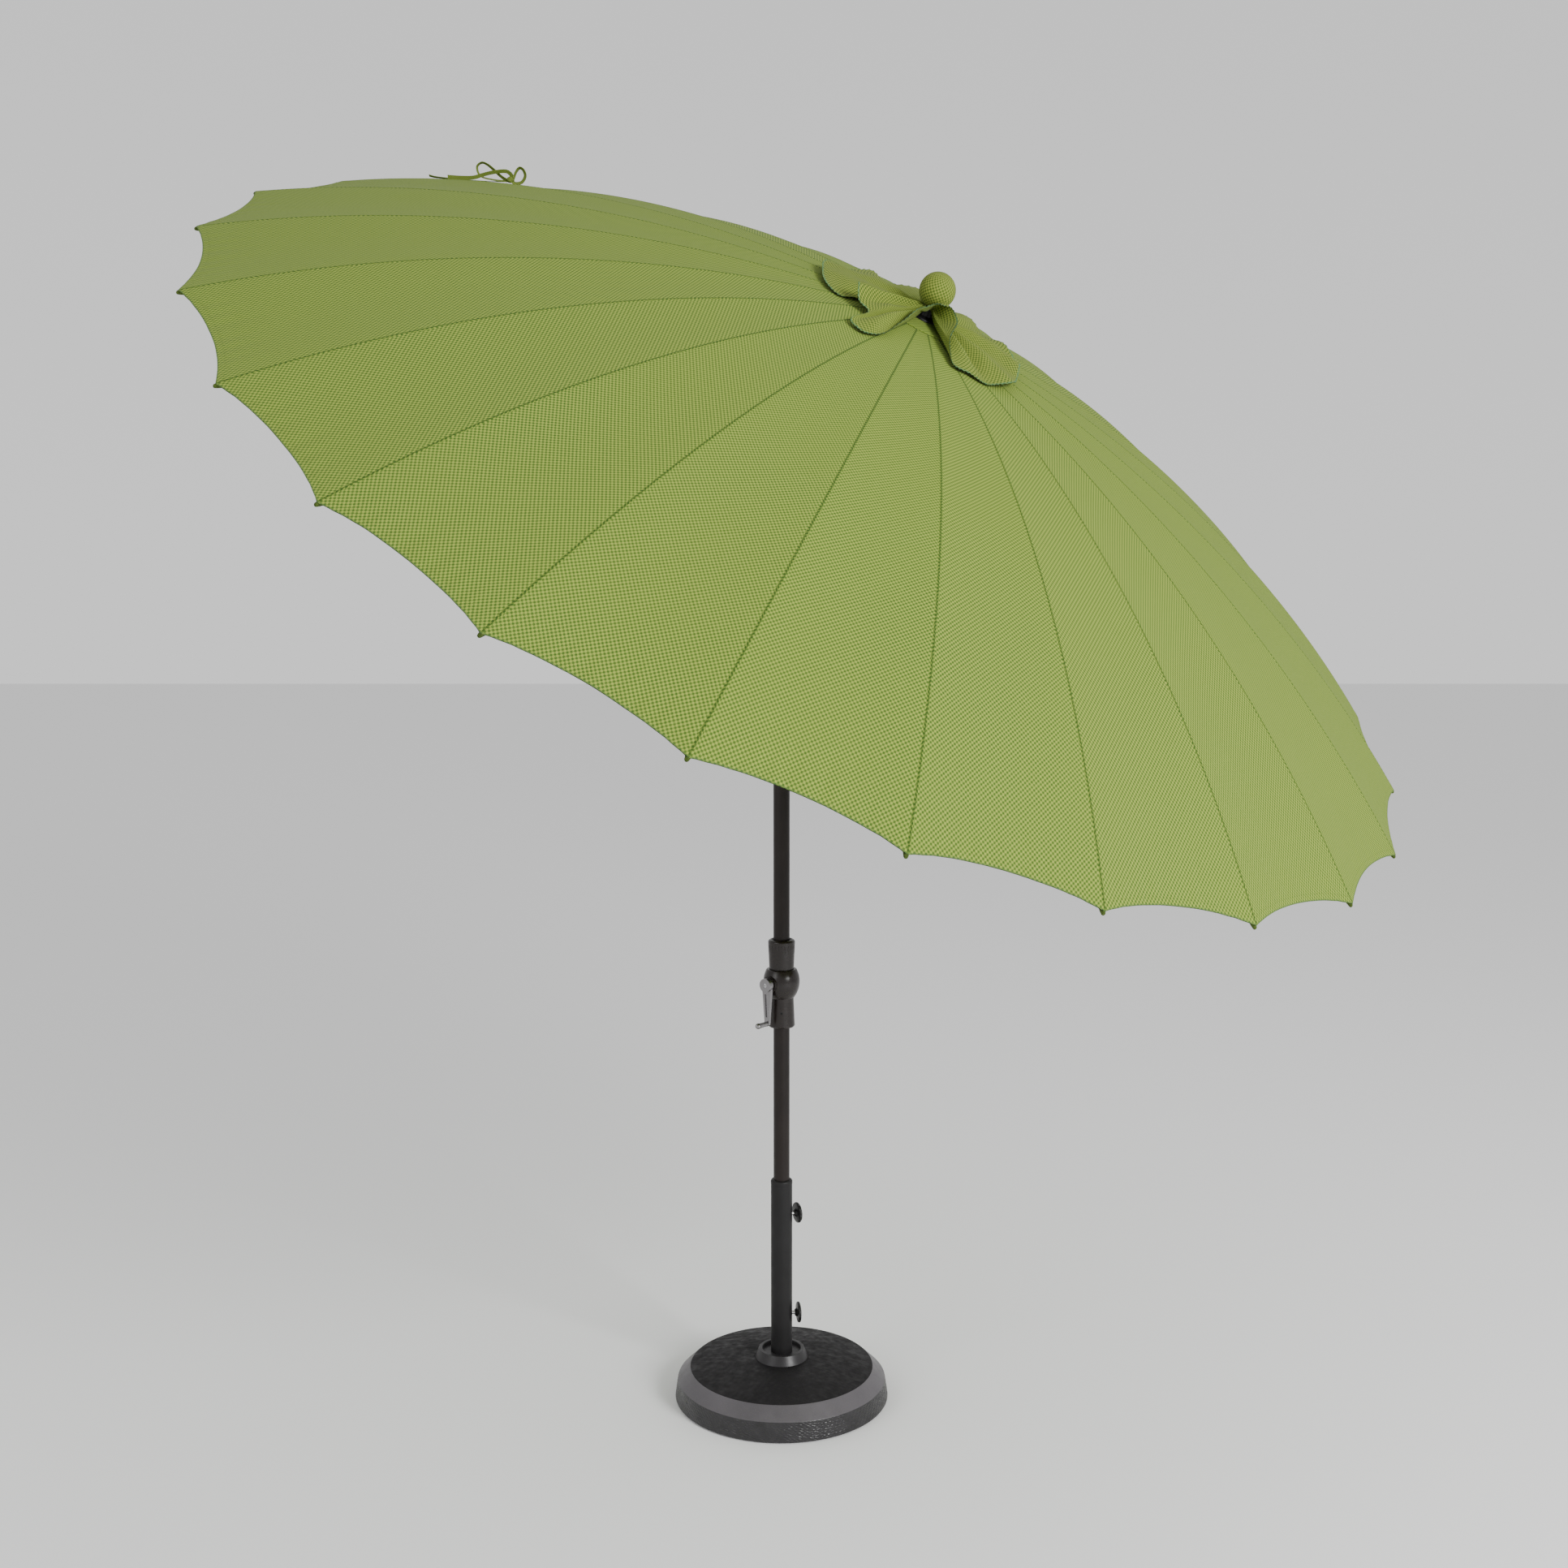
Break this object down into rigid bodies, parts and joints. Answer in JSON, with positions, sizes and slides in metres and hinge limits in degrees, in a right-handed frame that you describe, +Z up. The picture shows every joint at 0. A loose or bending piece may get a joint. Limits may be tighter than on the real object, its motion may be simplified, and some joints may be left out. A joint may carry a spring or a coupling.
{
  "type": "patio umbrella with base",
  "caption": "Tilting market umbrella: scalloped cloth canopy on ribs and stretchers, cranked pole with tilt collar, clamped in a weighted round base",
  "frame": {"origin": "centre of the base pad's underside, on the floor and on the stem's axis", "axes": "+Z up along the stem; +X to the right and +Y away as seen from the front"},
  "size_m": [2.5841, 2.6629, 2.9406],
  "materials": {
    "base_rubber": "matte",
    "base_shell_finish": "satin",
    "ballast": "matte",
    "dark_metal": "satin",
    "dark_plastic": "satin",
    "bush_plastic": "matte",
    "zinc": "satin",
    "knob_plastic": "satin",
    "crank_silver": "satin",
    "stretcher_metal": "satin",
    "rib_fibreglass": "satin",
    "canopy_cloth": "matte"
  },
  "bodies": {
    "base": {"base_pad": "base_rubber", "base_shell": "base_shell_finish", "base_core": "ballast", "base_stem": "dark_metal", "flange_screws": "zinc", "stem_collar": "dark_plastic"},
    "upper_clamp": {"knob_upper_head": "knob_plastic", "knob_upper_stud": "zinc"},
    "lower_clamp": {"knob_lower_head": "knob_plastic", "knob_lower_stud": "zinc"},
    "bushing": {"stem_bushing": "bush_plastic"},
    "pole": {"lower_pole": "dark_metal", "lower_sleeve": "dark_plastic", "crank_case": "dark_plastic", "housing_screw": "zinc", "mid_pole": "dark_metal", "lower_knuckle": "dark_plastic", "knuckle_pin": "zinc"},
    "crank": {"crank_spool": "bush_plastic", "crank_arm": "crank_silver", "crank_screw": "zinc"},
    "peg": {"crank_peg": "crank_silver"},
    "collar": {"tilt_collar": "dark_plastic", "tilt_drive_tube": "dark_metal"},
    "mast": {"upper_knuckle": "dark_plastic", "upper_pole": "dark_metal", "top_hub": "bush_plastic", "rib_ring_wire": "zinc", "hub_cap": "bush_plastic", "finial_ball": "canopy_cloth", "flounce": "canopy_cloth", "canopy": "canopy_cloth", "tie_bow": "canopy_cloth"},
    "slider": {"runner": "bush_plastic", "stretcher_ring_wire": "zinc", "stretchers": "stretcher_metal"},
    "rib_01_arm": {"rib_01": "rib_fibreglass"},
    "rib_02_arm": {"rib_02": "rib_fibreglass"},
    "rib_03_arm": {"rib_03": "rib_fibreglass"},
    "rib_04_arm": {"rib_04": "rib_fibreglass"},
    "rib_05_arm": {"rib_05": "rib_fibreglass"},
    "rib_06_arm": {"rib_06": "rib_fibreglass"},
    "rib_07_arm": {"rib_07": "rib_fibreglass"},
    "rib_08_arm": {"rib_08": "rib_fibreglass"},
    "rib_09_arm": {"rib_09": "rib_fibreglass"},
    "rib_10_arm": {"rib_10": "rib_fibreglass"},
    "rib_11_arm": {"rib_11": "rib_fibreglass"},
    "rib_12_arm": {"rib_12": "rib_fibreglass"},
    "rib_13_arm": {"rib_13": "rib_fibreglass"},
    "rib_14_arm": {"rib_14": "rib_fibreglass"},
    "rib_15_arm": {"rib_15": "rib_fibreglass"},
    "rib_16_arm": {"rib_16": "rib_fibreglass"},
    "rib_17_arm": {"rib_17": "rib_fibreglass"},
    "rib_18_arm": {"rib_18": "rib_fibreglass"},
    "rib_19_arm": {"rib_19": "rib_fibreglass"},
    "rib_20_arm": {"rib_20": "rib_fibreglass"},
    "rib_21_arm": {"rib_21": "rib_fibreglass"},
    "rib_22_arm": {"rib_22": "rib_fibreglass"},
    "rib_23_arm": {"rib_23": "rib_fibreglass"},
    "rib_24_arm": {"rib_24": "rib_fibreglass"}
  },
  "joints": [
    {"name": "swivel", "type": "hinge", "parent": "base", "child": "bushing", "pos_m": [0, 0, 0.526], "axis": [0, 0, 1], "continuous": true},
    {"name": "height", "type": "slide", "parent": "bushing", "child": "pole", "axis": [0, 0, 1], "range_m": [0, 0.4]},
    {"name": "upper_clamp_turn", "type": "hinge", "parent": "base", "child": "upper_clamp", "pos_m": [0, 0, 0.448], "axis": [0.9063, 0.4226, 0], "range_deg": [0, 720]},
    {"name": "lower_clamp_turn", "type": "hinge", "parent": "base", "child": "lower_clamp", "pos_m": [0, 0, 0.204], "axis": [0.9848, 0.1736, 0], "range_deg": [0, 720]},
    {"name": "tilt", "type": "hinge", "parent": "pole", "child": "mast", "pos_m": [0, 0, 1.92], "axis": [0.6514, 0.7587, 0], "range_deg": [-34.1, 0]},
    {"name": "collar_turn", "type": "hinge", "parent": "pole", "child": "collar", "pos_m": [0, 0, 1.082], "axis": [0, 0, 1], "range_deg": [-102.4, 0]},
    {"name": "runner_slide", "type": "slide", "parent": "mast", "child": "slider", "axis": [0.4254, -0.3652, 0.8281], "range_m": [-0.183, 0], "deforming": ["stretchers"]},
    {"name": "crank_turn", "type": "hinge", "parent": "pole", "child": "crank", "pos_m": [0, 0, 1.016], "axis": [-0.6514, -0.7587, 0], "range_deg": [-839.5, 0]},
    {"name": "peg_spin", "type": "hinge", "parent": "crank", "child": "peg", "pos_m": [0, 0, 0.924], "axis": [-0.6514, -0.7587, 0], "continuous": true},
    {"name": "rib_01_hinge", "type": "hinge", "parent": "mast", "child": "rib_01_arm", "pos_m": [0.34232, -0.2387, 2.46973], "axis": [-0.0567, 0.9024, 0.4271], "range_deg": [0, 12.9]},
    {"name": "rib_02_hinge", "type": "hinge", "parent": "mast", "child": "rib_02_arm", "pos_m": [0.33982, -0.22628, 2.47649], "axis": [-0.2885, 0.8125, 0.5066], "range_deg": [0, 12.9]},
    {"name": "rib_03_hinge", "type": "hinge", "parent": "mast", "child": "rib_03_arm", "pos_m": [0.33411, -0.21557, 2.48415], "axis": [-0.5007, 0.6672, 0.5515], "range_deg": [0, 12.9]},
    {"name": "rib_04_hinge", "type": "hinge", "parent": "mast", "child": "rib_04_arm", "pos_m": [0.32557, -0.20728, 2.4922], "axis": [-0.6788, 0.4764, 0.5588], "range_deg": [0, 12.9]},
    {"name": "rib_05_hinge", "type": "hinge", "parent": "mast", "child": "rib_05_arm", "pos_m": [0.31478, -0.202, 2.50006], "axis": [-0.8106, 0.2532, 0.5281], "range_deg": [0, 12.9]},
    {"name": "rib_06_hinge", "type": "hinge", "parent": "mast", "child": "rib_06_arm", "pos_m": [0.30249, -0.20008, 2.50723], "axis": [-0.8871, 0.0127, 0.4613], "range_deg": [0, 12.9]},
    {"name": "rib_07_hinge", "type": "hinge", "parent": "mast", "child": "rib_07_arm", "pos_m": [0.28953, -0.20164, 2.5132], "axis": [-0.9032, -0.2286, 0.3631], "range_deg": [0, 12.9]},
    {"name": "rib_08_hinge", "type": "hinge", "parent": "mast", "child": "rib_08_arm", "pos_m": [0.27678, -0.20658, 2.51757], "axis": [-0.8578, -0.4544, 0.2402], "range_deg": [0, 12.9]},
    {"name": "rib_09_hinge", "type": "hinge", "parent": "mast", "child": "rib_09_arm", "pos_m": [0.26511, -0.21458, 2.52004], "axis": [-0.7539, -0.6492, 0.1009], "range_deg": [0, 12.9]},
    {"name": "rib_10_hinge", "type": "hinge", "parent": "mast", "child": "rib_10_arm", "pos_m": [0.25531, -0.22507, 2.52044], "axis": [-0.5986, -0.7998, -0.0453], "range_deg": [0, 12.9]},
    {"name": "rib_11_hinge", "type": "hinge", "parent": "mast", "child": "rib_11_arm", "pos_m": [0.24806, -0.23735, 2.51875], "axis": [-0.4025, -0.8958, -0.1883], "range_deg": [0, 12.9]},
    {"name": "rib_12_hinge", "type": "hinge", "parent": "mast", "child": "rib_12_arm", "pos_m": [0.24385, -0.25057, 2.51508], "axis": [-0.179, -0.9308, -0.3186], "range_deg": [0, 12.9]},
    {"name": "rib_13_hinge", "type": "hinge", "parent": "mast", "child": "rib_13_arm", "pos_m": [0.24297, -0.26385, 2.50968], "axis": [0.0567, -0.9024, -0.4271], "range_deg": [0, 12.9]},
    {"name": "rib_14_hinge", "type": "hinge", "parent": "mast", "child": "rib_14_arm", "pos_m": [0.24547, -0.27626, 2.50292], "axis": [0.2885, -0.8125, -0.5066], "range_deg": [0, 12.9]},
    {"name": "rib_15_hinge", "type": "hinge", "parent": "mast", "child": "rib_15_arm", "pos_m": [0.25118, -0.28698, 2.49526], "axis": [0.5007, -0.6672, -0.5515], "range_deg": [0, 12.9]},
    {"name": "rib_16_hinge", "type": "hinge", "parent": "mast", "child": "rib_16_arm", "pos_m": [0.25972, -0.29526, 2.48722], "axis": [0.6788, -0.4764, -0.5588], "range_deg": [0, 12.9]},
    {"name": "rib_17_hinge", "type": "hinge", "parent": "mast", "child": "rib_17_arm", "pos_m": [0.27051, -0.30054, 2.47935], "axis": [0.8106, -0.2532, -0.5281], "range_deg": [0, 12.9]},
    {"name": "rib_18_hinge", "type": "hinge", "parent": "mast", "child": "rib_18_arm", "pos_m": [0.2828, -0.30247, 2.47218], "axis": [0.8871, -0.0127, -0.4613], "range_deg": [0, 12.9]},
    {"name": "rib_19_hinge", "type": "hinge", "parent": "mast", "child": "rib_19_arm", "pos_m": [0.29577, -0.3009, 2.46621], "axis": [0.9032, 0.2286, -0.3631], "range_deg": [0, 12.9]},
    {"name": "rib_20_hinge", "type": "hinge", "parent": "mast", "child": "rib_20_arm", "pos_m": [0.30852, -0.29596, 2.46184], "axis": [0.8578, 0.4544, -0.2402], "range_deg": [0, 12.9]},
    {"name": "rib_21_hinge", "type": "hinge", "parent": "mast", "child": "rib_21_arm", "pos_m": [0.32019, -0.28797, 2.45937], "axis": [0.7539, 0.6492, -0.1009], "range_deg": [0, 12.9]},
    {"name": "rib_22_hinge", "type": "hinge", "parent": "mast", "child": "rib_22_arm", "pos_m": [0.32998, -0.27748, 2.45897], "axis": [0.5986, 0.7998, 0.0453], "range_deg": [0, 12.9]},
    {"name": "rib_23_hinge", "type": "hinge", "parent": "mast", "child": "rib_23_arm", "pos_m": [0.33723, -0.2652, 2.46066], "axis": [0.4025, 0.8958, 0.1883], "range_deg": [0, 12.9]},
    {"name": "rib_24_hinge", "type": "hinge", "parent": "mast", "child": "rib_24_arm", "pos_m": [0.34144, -0.25197, 2.46433], "axis": [0.179, 0.9308, 0.3186], "range_deg": [0, 12.9]}
  ],
  "couplings": [
    {"joint": "collar_turn", "follows": "tilt", "ratio": 3},
    {"joint": "crank_turn", "follows": "runner_slide", "rad_per_m": 80},
    {"joint": "rib_01_hinge", "follows": "runner_slide", "rad_per_m": -1.2249},
    {"joint": "rib_02_hinge", "follows": "runner_slide", "rad_per_m": -1.2249},
    {"joint": "rib_03_hinge", "follows": "runner_slide", "rad_per_m": -1.2249},
    {"joint": "rib_04_hinge", "follows": "runner_slide", "rad_per_m": -1.2249},
    {"joint": "rib_05_hinge", "follows": "runner_slide", "rad_per_m": -1.2249},
    {"joint": "rib_06_hinge", "follows": "runner_slide", "rad_per_m": -1.2249},
    {"joint": "rib_07_hinge", "follows": "runner_slide", "rad_per_m": -1.2249},
    {"joint": "rib_08_hinge", "follows": "runner_slide", "rad_per_m": -1.2249},
    {"joint": "rib_09_hinge", "follows": "runner_slide", "rad_per_m": -1.2249},
    {"joint": "rib_10_hinge", "follows": "runner_slide", "rad_per_m": -1.2249},
    {"joint": "rib_11_hinge", "follows": "runner_slide", "rad_per_m": -1.2249},
    {"joint": "rib_12_hinge", "follows": "runner_slide", "rad_per_m": -1.2249},
    {"joint": "rib_13_hinge", "follows": "runner_slide", "rad_per_m": -1.2249},
    {"joint": "rib_14_hinge", "follows": "runner_slide", "rad_per_m": -1.2249},
    {"joint": "rib_15_hinge", "follows": "runner_slide", "rad_per_m": -1.2249},
    {"joint": "rib_16_hinge", "follows": "runner_slide", "rad_per_m": -1.2249},
    {"joint": "rib_17_hinge", "follows": "runner_slide", "rad_per_m": -1.2249},
    {"joint": "rib_18_hinge", "follows": "runner_slide", "rad_per_m": -1.2249},
    {"joint": "rib_19_hinge", "follows": "runner_slide", "rad_per_m": -1.2249},
    {"joint": "rib_20_hinge", "follows": "runner_slide", "rad_per_m": -1.2249},
    {"joint": "rib_21_hinge", "follows": "runner_slide", "rad_per_m": -1.2249},
    {"joint": "rib_22_hinge", "follows": "runner_slide", "rad_per_m": -1.2249},
    {"joint": "rib_23_hinge", "follows": "runner_slide", "rad_per_m": -1.2249},
    {"joint": "rib_24_hinge", "follows": "runner_slide", "rad_per_m": -1.2249}
  ]
}
